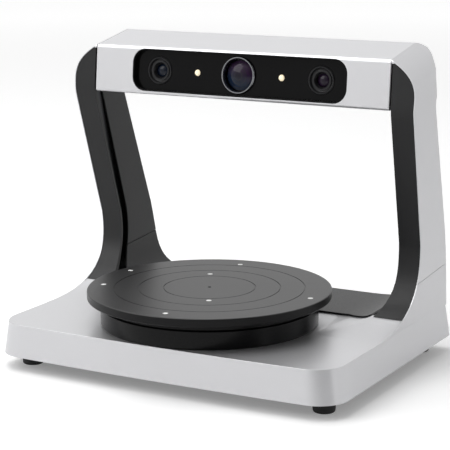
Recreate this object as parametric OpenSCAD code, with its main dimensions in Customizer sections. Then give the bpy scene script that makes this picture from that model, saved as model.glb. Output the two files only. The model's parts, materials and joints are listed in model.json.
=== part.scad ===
// Desktop turntable scanner: a drafted base on four feet, a black drum with a
// rotating disc, and a closed arch that leans forward and carries the optics head.
// Origin: centre of the footprint, on the surface the feet stand on. +Z up, +Y to
// the rear, millimetres.

/* [Base] */
// Width of the base at its top edge
base_w = 303; // [296:1:312]
// Depth of the base at its top edge
base_d = 229; // [226:1:236]
// Height of the base's side walls
base_h = 27; // [25:0.5:30]
// How far the base's sides slope out towards the bottom
side_draft = 3.75; // [0:0.25:5]
// How far the base's front and back slope out towards the bottom
end_draft = 2; // [0:0.25:3]
// Plan radius of the base's front corners
front_corner_r = 25; // [15:1:30]
// Plan radius of the base's rear corners
rear_corner_r = 3; // [2:0.5:8]
// Radius of the base's lower rear edge, seen from the side
rear_round_r = 5; // [3:0.5:6]
// How far the middle of the front stands ahead of its ends
front_bulge = 2.5; // [0:0.25:5]
// Wall of the base casting
base_wall = 2.5; // [2:0.1:3]
// Thickness of the steel bottom plate
plate_t = 2.2; // [1.5:0.1:2.5]
// How far the bottom plate is let in above the lower rim
plate_recess = 0.6; // [0:0.1:1]

/* [Feet] */
// Height of the feet below the base's rim
foot_h = 12; // [8:0.5:16]
// Radius of a foot
foot_r = 9.5; // [8:0.25:11]
// Half distance between the left and right feet
foot_x = 134; // [125:1:138]
// Place of the front feet
foot_front_y = -87; // [-92:1:-80]
// Place of the rear feet
foot_rear_y = 97; // [90:1:100]

/* [Turntable] */
// Radius of the turntable disc
disc_r = 100; // [95:1:104]
// Thickness of the disc
disc_t = 7.1; // [6:0.1:9]
// Place of the turntable's axis, ahead of the footprint's centre
disc_y = -25.5; // [-28:0.5:-22]
// Height of the disc's underside above the base's top
disc_lift = 20.9; // [20:0.1:24]
// Radius of the drum under the disc
drum_r = 89.2; // [87:0.1:89.4]
// Radius of the centring bore in the disc
centre_bore_r = 1.5; // [1:0.1:2]
// Radius of a marker dot
dot_r = 2.2; // [1.5:0.1:3]

/* [Drive] */
// Gear module
gear_module = 1.5; // [1.3:0.1:1.5]
// Teeth of the turntable gear
gear_teeth = 68; // [64:4:72]
// Teeth of the motor pinion
pinion_teeth = 16; // [12:4:16]
// Width of the gears
gear_t = 6; // [4:0.5:7]
// Play between the teeth at the pitch circle
backlash = 0.28; // [0.24:0.02:0.4]
// Spindle radius
spindle_r = 4; // [3:0.5:4]
// Side of the square stepper motor
motor_w = 35; // [30:1:38]
// Length of the stepper motor
motor_l = 20; // [16:0.5:21]

/* [Arch] */
// Height of the seam in the uprights above the base's top
seam_h = 32; // [28:0.5:36]
// Width of each upright where it leaves the base
upright_w = 18; // [15.5:0.5:21.5]
// How much the inner sides spread for each millimetre of height
inner_spread = 0.0335; // [0.02:0.0005:0.034]
// How much the outer sides spread for each millimetre of height
outer_spread = 0.0384; // [0.03:0.0002:0.045]
// Wall of the silver arch shells
shell_wall = 2; // [1.6:0.1:2.4]
// Thickness of the dark front trims
trim_t = 2.6; // [2:0.1:3.4]
// Thickness of the dark liners
liner_t = 1.6; // [1.2:0.1:2]
// Distance of the liner's front edge behind the arch's front face
liner_setback = 12; // [9:0.5:15]
// Silver lip left outside the front trims
lip = 0.6; // [0.4:0.1:1]
// How steeply the seam in the uprights climbs to the rear
seam_slope = 4.5; // [0:0.5:6]
// Front edge of the band across the base
band_front_y = 39.5; // [34:0.5:44]

/* [Head] */
// How far each end of the head reaches in over its upright
head_reach = 3.5; // [2.6:0.1:3.7]
// Height of the head's underside above the ground
head_bottom_z = 214.75; // [210:0.25:220]
// Height of the head's front face
head_face_h = 39.85; // [38:0.05:44]
// Front edge of the head's underside
head_front_y = 19; // [17:0.25:21]
// How far the head's front face leans back
face_lean = 5.6; // [3:0.1:8]
// Depth of the head at its top
head_top_d = 58; // [54:0.1:60]
// Slope of the head's top
top_slope = 10.6; // [8:0.1:12]
// Wall of the head's shell
head_wall = 2.2; // [1.6:0.1:2.6]
// Half length of the window
window_half_l = 100; // [96:0.5:110]
// Height of the window
window_h = 35.7; // [32:0.1:36]
// Corner radius of the window
window_r = 12; // [8:0.5:15]
// Depth of the window's recess
window_depth = 4.6; // [3:0.1:6]
// Distance of each camera from the middle
camera_x = 75.5; // [70:0.5:80]
// Radius of a camera's outer ring
camera_r = 11.5; // [9:0.25:12.5]
// Distance of each lamp from the middle
lamp_x = 39.3; // [34:0.1:45]
// Radius of a lamp's dome
lamp_r = 2.7; // [2:0.1:3.5]
// Outer radius of the projector's bright ring
projector_r = 15.5; // [13:0.25:16.5]

/* [Rear panel] */
// Half length of the opening in the rear wall
panel_half_l = 45; // [40:1:55]
// Height of the opening in the rear wall
panel_h = 16; // [15:0.5:17]
// Place of the power inlet
inlet_x = 30; // [22:1:34]
// Radius of the power inlet's bore
inlet_r = 3.25; // [2.75:0.05:3.5]
// Place of the data socket
socket_x = 4; // [-4:1:8]
// Place of the power button
button_x = -28; // [-34:1:-22]
// Radius of the power button
button_r = 6; // [5:0.1:6.5]
// Travel of the power button
button_travel = 2; // [1.5:0.1:2.5]

/* [Hidden] */
$fn = 64;

// Clearances
seat = 0.1;       // between fixed flat faces that meet
fit = 0.03;       // radial, round parts that are pressed or screwed together
run = 0.05;       // radial, round parts that turn in each other
slide_fit = 0.15; // around the trims and the push button
seam = 0.3;       // the fine line between the silver shells
big = 400;        // longer than the whole object

// Heights
base_top = foot_h + base_h;
plate_z = foot_h + plate_recess;
plate_top = plate_z + plate_t;
ceiling_z = base_top - base_wall;
seam_z = base_top + seam_h;
disc_z = base_top + disc_lift;
half_w = base_w / 2;
half_d = base_d / 2;
inner_half_w = half_w - upright_w;
head_half_l = inner_half_w + head_reach;
// The disc reaches further ahead of the base's centre than the base does behind it
origin_y = (disc_r - disc_y - base_half_d(foot_h + rear_round_r)) / 2;

// Side view of the arch as [y, z] points, from the base upwards. The front edge
// leaves the base in a long curve, bends and leans forward to the head.
upright_start = [49.7, base_top + 64];
head_corner = [head_front_y, head_bottom_z];
face_top = head_corner + head_face_h * [tan(face_lean), 1];
top_rear = face_top + head_top_d * [1, tan(top_slope)];
rear_bend = [64.2, head_bottom_z + 2.25];
rear_lean = (top_rear.x - rear_bend.x) / (top_rear.y - rear_bend.y);
front_curve = bezier([-40.5, base_top], [48.5, base_top - 2], [53.5, base_top + 36], upright_start, 16);
front_edge = concat(front_curve, bend(upright_start, head_corner, face_top, 14, 9), [face_top]);
rear_curve = bezier([half_d, base_top], [half_d - 1, base_top + 22], [half_d - 7, base_top + 48],
    [half_d - 11.5, base_top + 65], 8);
rear_edge = concat(rear_curve, bend(rear_curve[8], rear_bend, top_rear, 12, 12), [top_rear]);
// The whole outline of the arch in side view, rounded at its top corners
arch_path = concat(
    [for (i = [0 : len(front_edge) - 2]) front_edge[i]],
    round_corner(head_corner, face_top, top_rear, 2.4),
    round_corner(face_top, top_rear, rear_bend, 6),
    [for (i = [len(rear_edge) - 2 : -1 : 0]) rear_edge[i]]);

// Front view of the arch as [x, z] points. The inner outline runs from the flat
// band up the upright; the outer one rounds the top corner into the head.
band_z = base_top + liner_t;
inner_curve = bezier([inner_half_w - 48.5, band_z], [inner_half_w - 15.5, band_z],
    [inner_half_w - 2, band_z + 6.4], [inner_half_w, seam_z + 2], 12);
inner_top = [inner_half_w + inner_spread * (head_bottom_z - seam_z), head_bottom_z];
trim_curve = bezier([inner_half_w - 36, band_z], [inner_half_w - 8, band_z],
    [inner_half_w - 1, band_z + 6.4], [inner_half_w, seam_z + 2], 12);
corner_z = head_bottom_z + 9.25;
corner_x = half_w + outer_spread * (corner_z - base_top);
corner_curve = bezier([corner_x, corner_z], [corner_x + 0.6, corner_z + 15],
    [corner_x - 7.6, face_top.y - 8], [head_half_l, face_top.y], 12);
outer_edge = concat([[half_w, base_top]], corner_curve);
corner_growth = 0.66; // radius gained per mm of height
// Foot of the trims, where the silver ramps end
foot_z = band_z + 6;
foot_y = 19;
foot_depth = 5.6;

// Radii of the fine rings cut in the disc
ring_radii = [37.5, 58, 78];
// Marker dots as [radius, angle]
dots = [[89, 4], [83, 101], [90, 168], [88, 202], [88, 277], [45, 119], [43, 299]];

// Drive train
gear_pitch_r = gear_module * gear_teeth / 2;
pinion_pitch_r = gear_module * pinion_teeth / 2;
motor_y = disc_y + gear_pitch_r + pinion_pitch_r;
motor_screw_r = motor_w * 0.525;
drum_screw_r = drum_r - 9;
housing_screw_r = 22;
hub_flange_t = 3;
hub_flange_r = 25;
hub_screw_r = 21;
gear_z = disc_z - hub_flange_t - gear_t;
housing_r = 15;
bearing_r = 11;
bearing_w = 7;
bearing_z = base_top + 1.5;
shaft_r = 2.5;
screw_r = 1.5;
head_r = 2.8;
head_t = 1.8;

// Middle of the head's front face
face_mid = [head_front_y + head_face_h / 2 * tan(face_lean), head_bottom_z + head_face_h / 2 + 0.75];
spine_x = inner_half_w + inner_spread * (head_bottom_z - seam_z) + liner_t + 2 * seat;
cable_t = 0.8;
spine_t = half_w - shell_wall - spine_x - cable_t - 1.1;
engine_depth = 25;
rail_t = 4;

function bezier(a, b, c, d, n) =
    [for (i = [0 : n]) let (t = i / n, u = 1 - t)
        u * u * u * a + 3 * u * u * t * b + 3 * u * t * t * c + t * t * t * d];
function unit(v) = v / norm(v);
// The right-hand normal of a path at its point i
function side_of(p, i) =
    let (t = unit(p[min(i + 1, len(p) - 1)] - p[max(i - 1, 0)])) [t.y, -t.x];
// A path moved sideways by d
function moved(p, d) = [for (i = [0 : len(p) - 1]) p[i] + d * side_of(p, i)];
// A soft bend at the corner v between a and b, starting la before it and ending lb after it
function bend(a, v, b, la, lb) = bezier(v + unit(a - v) * la, v, v, v + unit(b - v) * lb, 5);
// The arc that rounds the corner v between a and b
function round_corner(a, v, b, r, n = 6) =
    let (da = unit(a - v), db = unit(b - v), half = acos(da * db) / 2,
        c = v + unit(da + db) * r / sin(half),
        pa = v + da * r / tan(half) - c, pb = v + db * r / tan(half) - c,
        s = atan2(pa.y, pa.x), turn = atan2(pb.y, pb.x) - s)
    arc(c, r, s, s + (turn > 180 ? turn - 360 : turn < -180 ? turn + 360 : turn), n);
function back(p) = [for (i = [len(p) - 1 : -1 : 0]) p[i]];
function above(p, z) = [for (q = p) if (q.y >= z) q];
function arc(c, r, a0, a1, n) =
    [for (i = [0 : n]) let (a = a0 + (a1 - a0) * i / n) c + r * [cos(a), sin(a)]];

// A side-view outline, drawn as [y, z], carried across from x0 to x1
module across(x0, x1) translate([x0, 0, 0]) rotate([90, 0, 90]) linear_extrude(x1 - x0) children();
// A front-view outline, drawn as [x, z], carried from front to rear
module through() rotate([90, 0, 0]) translate([0, 0, -big / 2]) linear_extrude(big) children();
// A front-view outline given as points, climbing with the slope of the head's top
module up_slope(points) translate([0, face_top.x, face_top.y]) rotate([top_slope, 0, 0]) through()
    polygon([for (q = points) [q.x, (q.y - face_top.y) * cos(top_slope)]]);
// Places drawn on the head's front face: x across, y up the face, z out of it
module on_face(depth = 0) translate([0, face_mid.x, face_mid.y]) rotate([90 - face_lean, 0, 0])
    translate([0, 0, -depth]) children();
module placed() translate([0, origin_y, 0]) children();
module both_sides() { children(); mirror([1, 0, 0]) children(); }
module round_rect(w, d, r) {
    square([w - 2 * r, d], center = true);
    square([w, d - 2 * r], center = true);
    for (x = [-1, 1], y = [-1, 1]) translate([x * (w / 2 - r), y * (d / 2 - r)]) circle(r);
}
module tube(r_out, r_in, h) difference() {
    cylinder(r = r_out, h = h);
    translate([0, 0, -1]) cylinder(r = r_in, h = h + 2);
}
module slab(z0, z1) translate([-big / 2, -big / 2, z0]) cube([big, big, z1 - z0]);
module screw_hole(h) cylinder(r = screw_r + fit, h = h);
module screw(length, r = screw_r) {
    cylinder(r = r, h = length);
    translate([0, 0, -head_t]) difference() {
        cylinder(r = head_r, h = head_t);
        translate([0, 0, -1]) cylinder(r = 1.2, h = 1.8, $fn = 6);
    }
}

// Section of the arch in side view, inset all round
module arch_section(inset) polygon(concat(
    [[arch_path[0].x - 10, 0]], moved(arch_path, inset), [[half_d - inset, 0]]));
// Right half of the arch in front view, out to a line inset from the outer edge
module upright_outline(inset) up_slope(concat([[50, 0]], [[50, face_top.y + 20]],
    [[head_half_l - 1, face_top.y + 20]], back(moved(outer_edge, -inset)), [[half_w - inset, 0]]));
// Everything above (or below) the seam in the uprights, which climbs to the rear
module past_seam(side, gap) translate([0, upright_start.x, seam_z]) rotate([seam_slope, 0, 0])
    translate([-big / 2, -big / 2, side > 0 ? gap : -big - gap]) cube(big);

// The drafted block of the base, inset on all sides
function base_half_w(z) = half_w + side_draft * (base_top - z) / base_h;
function base_half_d(z) = half_d + end_draft * (base_top - z) / base_h;
function bulge_arc(w, y) = [for (i = [-4 : 4]) [w * i / 4, y - front_bulge * (1 - i * i / 16)]];
module base_plan(z, inset) {
    hw = base_half_w(z) - inset;
    hd = base_half_d(z) - inset;
    fr = front_corner_r - inset;
    rr = rear_corner_r - inset;
    front = -hd + front_bulge;
    hull() {
        for (s = [-1, 1]) {
            translate([s * (hw - fr), front + fr]) circle(fr, $fn = 48);
            translate([s * (hw - rr), hd - rr]) circle(rr, $fn = 32);
        }
        polygon(concat(bulge_arc(hw - fr, front), [[0, 0]]));
    }
}
module base_block(inset, z0, z1) hull() {
    translate([0, 0, z0]) linear_extrude(0.01) base_plan(z0, inset);
    translate([0, 0, z1 - 0.01]) linear_extrude(0.01) base_plan(z1, inset);
}

// What the head's outer rear corner loses: it grows rounder from the bend to the top
module corner_loss(inset) intersection() {
    translate([corner_x, rear_bend.x + 2.2, rear_bend.y]) for (a = [18, 40, 64]) rotate([0, 0, a])
        rotate([0, -atan(corner_growth * (cos(a) + sin(a) - 1) - rear_lean * sin(a)), 0])
            translate([-inset, -big / 2, -big / 2]) cube(big);
    slab(rear_bend.y, big);
}
// Silver wall of one upright: its outer side, its rear and its rounded top corner
module upright_shell() difference() {
    intersection() {
        across(head_half_l - 20, half_w + 20) arch_section(0);
        upright_outline(0);
        union() {
            through() polygon(concat([[liner_sheet[0].x, 0]], moved(liner_sheet, liner_t + seat),
                [[inner_top.x + liner_t + seat, head_bottom_z], [big, head_bottom_z], [big, 0]]));
            translate([head_half_l + seam / 2, -big / 2, head_bottom_z - seam / 2]) cube(big);
        }
    }
    difference() {
        intersection() {
            across(head_half_l - 40, half_w + 30) for (slide = [0, -22])
                translate(slide * [1, tan(top_slope)]) arch_section(shell_wall);
            upright_outline(shell_wall);
        }
        corner_loss(shell_wall);
    }
    corner_loss(0);
    trim_zone(-12, slide_fit);
}
// Silver ramp that lifts the base's top towards each upright
module ramp() difference() {
    intersection() {
        across(inner_half_w - 60, half_w + 5) polygon(concat([[-60, base_top - 1]],
            [for (q = front_curve) if (q.y < foot_z) q],
            [[foot_y, foot_z], [band_front_y - slide_fit, foot_z]],
            [[band_front_y - slide_fit, base_top - 1]]));
        through() polygon(concat([[inner_half_w - 48.5, base_top - 1]], moved(inner_curve, liner_t),
            [[half_w - 0.3 + outer_spread * seam_h, seam_z], [half_w - 0.3, base_top - 1]]));
    }
    liner_half(seat);
}
boss_x = half_w - 21.5;
boss_places = [[-boss_x, -70], [boss_x, -70], [-boss_x, 78], [boss_x, 78], [0, -104], [-70, 103], [70, 103]];
module base_shell() color("silver") placed() difference() {
    union() {
        difference() {
            intersection() {
                base_block(0, foot_h, base_top);
                across(-big / 2, big / 2) polygon(concat([[-half_d - 20, 0]],
                    arc([base_half_d(foot_h) - rear_round_r, foot_h + rear_round_r], rear_round_r, -90, 0, 6),
                    [[half_d + 20, base_top + 1], [-half_d - 20, base_top + 1]]));
            }
            difference() {
                base_block(base_wall, foot_h - 0.02, ceiling_z);
                for (p = boss_places) translate([p.x, p.y, plate_top + seat]) cylinder(r = 4.5, h = base_h);
            }
        }
        both_sides() ramp();
        both_sides() intersection() {
            upright_shell();
            past_seam(-1, seam / 2);
            slab(base_top - 0.5, big);
        }
    }
    for (p = boss_places) translate([p.x, p.y, 0]) screw_hole(plate_top + 10);
    for (p = foot_places) translate([p.x, p.y, 0]) cylinder(r = screw_r + 1, h = plate_top + 8);
    translate([0, disc_y, ceiling_z - 1]) cylinder(r = bearing_r - 1, h = base_h);
    translate([0, disc_y, base_top]) cylinder(r = drum_r + 1.5, h = base_h);
    translate([0, motor_y, ceiling_z - 1]) cylinder(r = shaft_r + 4, h = base_h);
    for (a = [45 : 90 : 315]) translate([0, 0, ceiling_z - 1]) {
        translate([0, disc_y]) rotate(a) translate([housing_screw_r, 0]) screw_hole(base_h);
        translate([0, motor_y]) rotate(a) translate([motor_screw_r, 0]) screw_hole(base_h);
        translate([0, disc_y]) rotate(a + 22.5) translate([drum_screw_r, 0]) screw_hole(base_h);
    }
    both_sides() translate([spine_x - seam, spine_y0 - seam, ceiling_z - 1])
        cube([spine_t + 1.6, spine_y1 - spine_y0 + 2 * seam, base_h]);
    translate([-panel_half_l, half_d - 12, plate_top + 3]) cube([2 * panel_half_l, 30, panel_h]);
}
foot_places = [for (x = [-1, 1], y = [foot_front_y, foot_rear_y]) [x * foot_x, y]];
plate_half_w = base_half_w(plate_top) - base_wall - seam;
plate_half_d = base_half_d(plate_top) - base_wall - seam;
module base_plate() color("dimgray") placed() difference() {
    translate([0, front_bulge / 2, plate_z]) linear_extrude(plate_t)
        round_rect(2 * plate_half_w, 2 * plate_half_d - front_bulge, front_corner_r - base_wall);
    for (p = boss_places) translate([p.x, p.y, 0]) cylinder(r = screw_r + seat, h = base_h);
    for (p = foot_places) translate([p.x, p.y, 0]) screw_hole(base_h);
    for (p = board_places) translate([p.x, p.y, 0]) screw_hole(base_h);
    for (x = [-90 : 12 : 90]) translate([x, -8, 0]) linear_extrude(base_h) round_rect(4, 30, 1.9);
}
module rubber_feet() color("#1c1c1d") placed() for (p = foot_places) translate([p.x, p.y, 0]) difference() {
    rotate_extrude() polygon(concat([[0, 0]], arc([foot_r - 2.4, 1.6], 1.6, -90, 0, 5),
        [[foot_r, plate_z - 3], [foot_r, plate_z], [0, plate_z]]));
    translate([0, 0, -1]) cylinder(r = head_r + 0.6, h = plate_z - 3);
    cylinder(r = screw_r + seat, h = base_h);
}
module foot_screws() color("gray") placed() for (p = foot_places)
    translate([p.x, p.y, plate_z - 4 - seat]) screw(plate_t + 8);
module plate_screws() color("gray") placed() for (p = boss_places)
    translate([p.x, p.y, plate_z]) screw(plate_t + 8);

// Turntable: the fixed drum and its bearings
module drum_body() color("#1a1a1c") placed() translate([0, disc_y, base_top + seat]) difference() {
    rotate_extrude($fn = 128) translate([drum_r, 0]) polygon([[-14, 0], [-0.6, 0], [-0.6, 0.5], [0, 1.1],
        [0, 14.6], [-0.7, 15.3], [-2, 15.4], [-2, 16.6], [-0.8, 16.7], [-0.8, 18.2], [-1.4, 18.7],
        [-5.8, 18.7], [-5.8, 2.5], [-14, 2.5]]);
    for (a = [45 : 90 : 315]) translate([0, 0, -1]) {
        rotate(a + 22.5) translate([drum_screw_r, 0]) screw_hole(5);
        translate([0, motor_y - disc_y]) rotate(a) translate([motor_screw_r, 0])
            cylinder(r = head_r + slide_fit, h = 4);
    }
}
module drum_screws() color("gray") placed() for (a = [45 : 90 : 315]) translate([0, disc_y, base_top + seat + 2.5])
    rotate(a + 22.5) translate([drum_screw_r, 0]) mirror([0, 0, 1]) screw(base_wall + 5);
module bearing_housing() color("#9a9ca0") placed() translate([0, disc_y, base_top + seat]) difference() {
    union() {
        cylinder(r = 27, h = 3);
        cylinder(r = housing_r, h = gear_z + gear_t - base_top - seat - 1.4);
    }
    translate([0, 0, -1]) cylinder(r = bearing_r - 2, h = base_h);
    translate([0, 0, bearing_z - base_top - seat]) cylinder(r = bearing_r + fit, h = base_h);
    for (a = [45 : 90 : 315]) rotate(a) translate([housing_screw_r, 0, -1]) screw_hole(5);
}
module bearings_each() for (i = [0, 1]) translate([0, disc_y, bearing_z + i * (bearing_w + seat)]) children();
module bearing_outer_races() color("#c9cccf") placed() bearings_each() difference() {
    tube(bearing_r, bearing_r - 2, bearing_w);
    translate([0, 0, bearing_w / 2]) rotate_extrude() translate([bearing_r - 3.5, 0]) circle(1.8, $fn = 24);
}
module bearing_inner_races() color("#c9cccf") placed() bearings_each() difference() {
    tube(bearing_r - 5, spindle_r + fit, bearing_w);
    translate([0, 0, bearing_w / 2]) rotate_extrude() translate([bearing_r - 3.5, 0]) circle(1.8, $fn = 24);
}
module bearing_balls() color("#e3e5e8") placed() bearings_each() for (a = [0 : 40 : 320])
    rotate(a) translate([bearing_r - 3.5, 0, bearing_w / 2]) sphere(1.8 - run, $fn = 20);
module spindle_hub() color("#b9bbbf") placed() translate([0, disc_y, 0]) difference() {
    union() {
        translate([0, 0, base_top - 8]) cylinder(r = spindle_r, h = disc_z - base_top + 8);
        translate([0, 0, bearing_z + 2 * bearing_w + 2 * seat])
            cylinder(r = spindle_r + 1.4, h = disc_z - hub_flange_t - bearing_z - 2 * bearing_w);
        translate([0, 0, disc_z - hub_flange_t]) cylinder(r = hub_flange_r, h = hub_flange_t);
    }
    for (a = [0 : 90 : 270]) rotate(a) translate([hub_screw_r, 0, gear_z]) screw_hole(base_h);
}
module spindle_nut() color("gray") placed() translate([0, disc_y, bearing_z - seat - 4]) difference() {
    cylinder(r = 7.2, h = 4, $fn = 6);
    translate([0, 0, -1]) cylinder(r = spindle_r + fit, h = 6);
}
// Teeth with straight flanks between the root and the tip
module teeth(n, pitch_r) {
    half = (PI * gear_module / 2 - backlash) / 2;
    tip = pitch_r + 0.74 * gear_module;
    root = pitch_r - 1.05 * gear_module;
    slope = tan(22);
    circle(root + 0.02, $fn = 2 * n);
    for (i = [0 : n - 1]) rotate(i * 360 / n) polygon([
        [root - 0.3, -half - slope * (pitch_r - root)], [tip, -half + slope * (tip - pitch_r)],
        [tip, half - slope * (tip - pitch_r)], [root - 0.3, half + slope * (pitch_r - root)]]);
}
module drive_gear() color("#d8d4c4") placed() translate([0, disc_y, gear_z]) difference() {
    linear_extrude(gear_t) rotate(90) teeth(gear_teeth, gear_pitch_r);
    translate([0, 0, -1]) cylinder(r = housing_r + 1.5, h = gear_t + 2);
    for (a = [0 : 90 : 270]) rotate(a) translate([hub_screw_r, 0, -1]) {
        screw_hole(gear_t + 2);
        cylinder(r = head_r + seat, h = head_t + 1.2);
    }
    for (a = [0 : 60 : 300]) rotate(a + 30) translate([38, 0, -1]) cylinder(r = 8, h = gear_t + 2);
}
module hub_screws() color("gray") placed() for (a = [0 : 90 : 270]) translate([0, disc_y, gear_z + head_t + 0.2])
    rotate(a) translate([hub_screw_r, 0]) screw(gear_t - head_t - 0.2 + hub_flange_t + 4);
module turntable_disc() color("#4a4a4c") placed() translate([0, disc_y, disc_z]) difference() {
    rotate_extrude($fn = 180) polygon(concat([[centre_bore_r, 0], [disc_r - 0.8, 0], [disc_r, 0.8],
        [disc_r, disc_t - 0.6], [disc_r - 0.6, disc_t]],
        [for (r = back(ring_radii)) for (s = [[0.35, 0], [0.35, -0.4], [-0.35, -0.4], [-0.35, 0]])
            [r + s.x, disc_t + s.y]],
        [[centre_bore_r, disc_t]]));
    for (d = dots) rotate(d[1]) translate([d[0], 0, disc_t - 0.3]) cylinder(r = dot_r + fit, h = 1);
    for (a = [0 : 90 : 270]) rotate(a) translate([hub_screw_r, 0, -1]) screw_hole(5.5);
}
module marker_dots() color("white") placed() translate([0, disc_y, disc_z + disc_t - 0.3]) for (d = dots)
    rotate(d[1]) translate([d[0], 0]) cylinder(r = dot_r, h = 0.3);

// Motor and pinion
motor_z = ceiling_z - seat - motor_l;
module stepper_motor() color("#333336") placed() translate([0, motor_y, motor_z]) difference() {
    union() {
        linear_extrude(motor_l - 0.5) round_rect(motor_w, motor_w, 4);
        cylinder(r = 11, h = motor_l);
    }
    translate([0, 0, 6]) cylinder(r = shaft_r + run, h = motor_l);
    for (a = [45 : 90 : 315]) rotate(a) translate([motor_screw_r, 0, 6])
        screw_hole(motor_l);
}
module motor_screws() color("gray") placed() translate([0, motor_y, base_top]) for (a = [45 : 90 : 315])
    rotate(a) translate([motor_screw_r, 0]) mirror([0, 0, 1]) screw(base_wall + 8);
module motor_shaft() color("#c9cccf") placed() translate([0, motor_y, motor_z + 6.1])
    cylinder(r = shaft_r, h = gear_z + gear_t - motor_z - 6.1);
module motor_pinion() color("#d2b45c") placed() translate([0, motor_y, gear_z]) difference() {
    union() {
        linear_extrude(gear_t) rotate(-90 + 180 / pinion_teeth) teeth(pinion_teeth, pinion_pitch_r);
        translate([0, 0, -4]) cylinder(r = 7, h = 4);
    }
    translate([0, 0, -5]) cylinder(r = shaft_r + fit, h = gear_t + 6);
}

// Electronics in the base
board_corner = [-62, -96];
board_size = [124, 66];
board_z = plate_top + 5;
board_t = 1.6;
chip_place = [41, 17];
chip_t = 2.2;
board_places = [for (x = [6, board_size.x - 6], y = [6, board_size.y - 6]) board_corner + [x, y]];
// Places on the board's top, from its corner
module on_board(x, y) translate([board_corner.x + x, board_corner.y + y, board_z + board_t]) children();
module main_board() color("#1f5a3a") placed() difference() {
    union() {
        on_board(0, 0) translate([0, 0, -board_t]) cube([board_size.x, board_size.y, board_t]);
        on_board(chip_place.x + 1, chip_place.y + 1) cube([22, 22, chip_t]);
        for (y = [14, 26]) on_board(board_size.x - 48, y) cube([12, 8, 1.6]);
        for (x = [12 : 14 : board_size.x - 28]) on_board(x, board_size.y - 10) cube([10, 6, 6]);
    }
    for (p = board_places) translate([p.x, p.y, plate_top]) screw_hole(10);
}
module board_standoffs() color("#c8b070") placed() for (p = board_places) translate([p.x, p.y, plate_top])
    tube(3.2, screw_r + fit, board_z - plate_top);
module board_screws() color("gray") placed() for (p = board_places) translate([p.x, p.y, board_z + board_t])
    mirror([0, 0, 1]) screw(board_z + board_t - plate_z - seat);
module heat_sink() color("#8d9094") placed() on_board(chip_place.x, chip_place.y) translate([0, 0, chip_t]) {
    cube([24, 24, 2]);
    for (x = [0 : 3.5 : 21]) translate([x, 0, 2]) cube([1.2, 24, 7]);
}

// Rear panel with its inlet, socket and button
panel_y = base_half_d(plate_top + 3 + panel_h) - base_wall - 1.8;
panel_mid_z = plate_top + 3 + panel_h / 2;
socket_half_h = 5.5;
connector_top = panel_mid_z - socket_half_h - seat;
module at_panel(x) translate([x, panel_y, panel_mid_z]) rotate([-90, 0, 0]) children();
module rear_panel() color("#242426") placed() difference() {
    translate([-panel_half_l - 3, panel_y, plate_top + 1]) cube([2 * panel_half_l + 6, 1.6, panel_h + 4]);
    at_panel(inlet_x) translate([0, 0, -1]) cylinder(r = 4.6, h = 4);
    at_panel(socket_x) translate([-6 - seat, -socket_half_h - seat, -1])
        cube([12 + 2 * seat, 2 * (socket_half_h + seat), 4]);
    at_panel(button_x) translate([0, 0, -1]) cylinder(r = button_r + slide_fit, h = 4);
}
module power_inlet() color("#161617") placed() at_panel(inlet_x) {
    difference() {
        union() {
            translate([-5.5, -socket_half_h, -12]) cube([11, 2 * socket_half_h, 11.9]);
            translate([0, 0, -1]) cylinder(r = 4.5, h = 2.8);
        }
        translate([0, 0, -9.5]) cylinder(r = inlet_r, h = 20);
    }
    translate([0, 0, -9.6]) cylinder(r = 1, h = 5);
}
module data_socket() color("#c4c7cb") placed() at_panel(socket_x) {
    difference() {
        translate([-6, -socket_half_h, -12]) cube([12, 2 * socket_half_h, 13.8]);
        translate([-5.1, 0.9 - socket_half_h, -10.5]) cube([10.2, 2 * (socket_half_h - 0.9), 20]);
    }
    translate([-3, -1.6, -10.6]) cube([6, 3.2, 6]);
}
module power_button() color("#2e2e31") placed() at_panel(button_x) difference() {
    union() {
        translate([0, 0, -2.9]) cylinder(r = button_r + 1.2, h = 2.5);
        translate([0, 0, -0.5]) cylinder(r = button_r, h = 4.6);
        translate([0, 0, -6]) cylinder(r = 2, h = 4);
    }
    translate([0, 0, 3.8]) cylinder(r = button_r - 1.4, h = 1);
}
module button_switch() color("#3b3b3e") placed() at_panel(button_x) difference() {
    translate([-8, -socket_half_h, -16]) cube([16, 2 * socket_half_h, 10.7]);
    translate([0, 0, -9]) cylinder(r = 2 + run, h = 10);
}
module connector_board() color("#1f5a3a") placed() {
    translate([button_x - 12, panel_y - 24, connector_top - board_t])
        cube([inlet_x - button_x + 24, 18.6, board_t]);
    for (x = [button_x - 9, inlet_x + 9]) translate([x, panel_y - 21, plate_top])
        cylinder(r = 2.5, h = connector_top - board_t - plate_top);
}

// Arch: the load-bearing spines inside the uprights
spine_y0 = 47;
spine_y1 = 80;
spine_top = head_bottom_z + head_face_h - 9;
plain_front = concat(front_curve, [head_corner, face_top]);
spine_front = above(moved(plain_front, trim_t + 1.2), base_top + 26);
spine_rear = above(moved(plain_front, trim_t + 32), base_top + 26);
module spine() color("#3a3a3d") placed() intersection() {
    across(spine_x, spine_x + spine_t) polygon(concat([[spine_y0, plate_top]], [[spine_y0, base_top + 20]],
        spine_front, back(spine_rear), [[spine_y1, base_top + 20], [spine_y1, plate_top]]));
    slab(plate_top, spine_top);
}
module spine_right() spine();
module spine_left() mirror([1, 0, 0]) spine();
module side_shell() color("silver") placed() intersection() {
    upright_shell();
    past_seam(1, seam / 2);
}
module side_shell_right() side_shell();
module side_shell_left() mirror([1, 0, 0]) side_shell();
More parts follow.
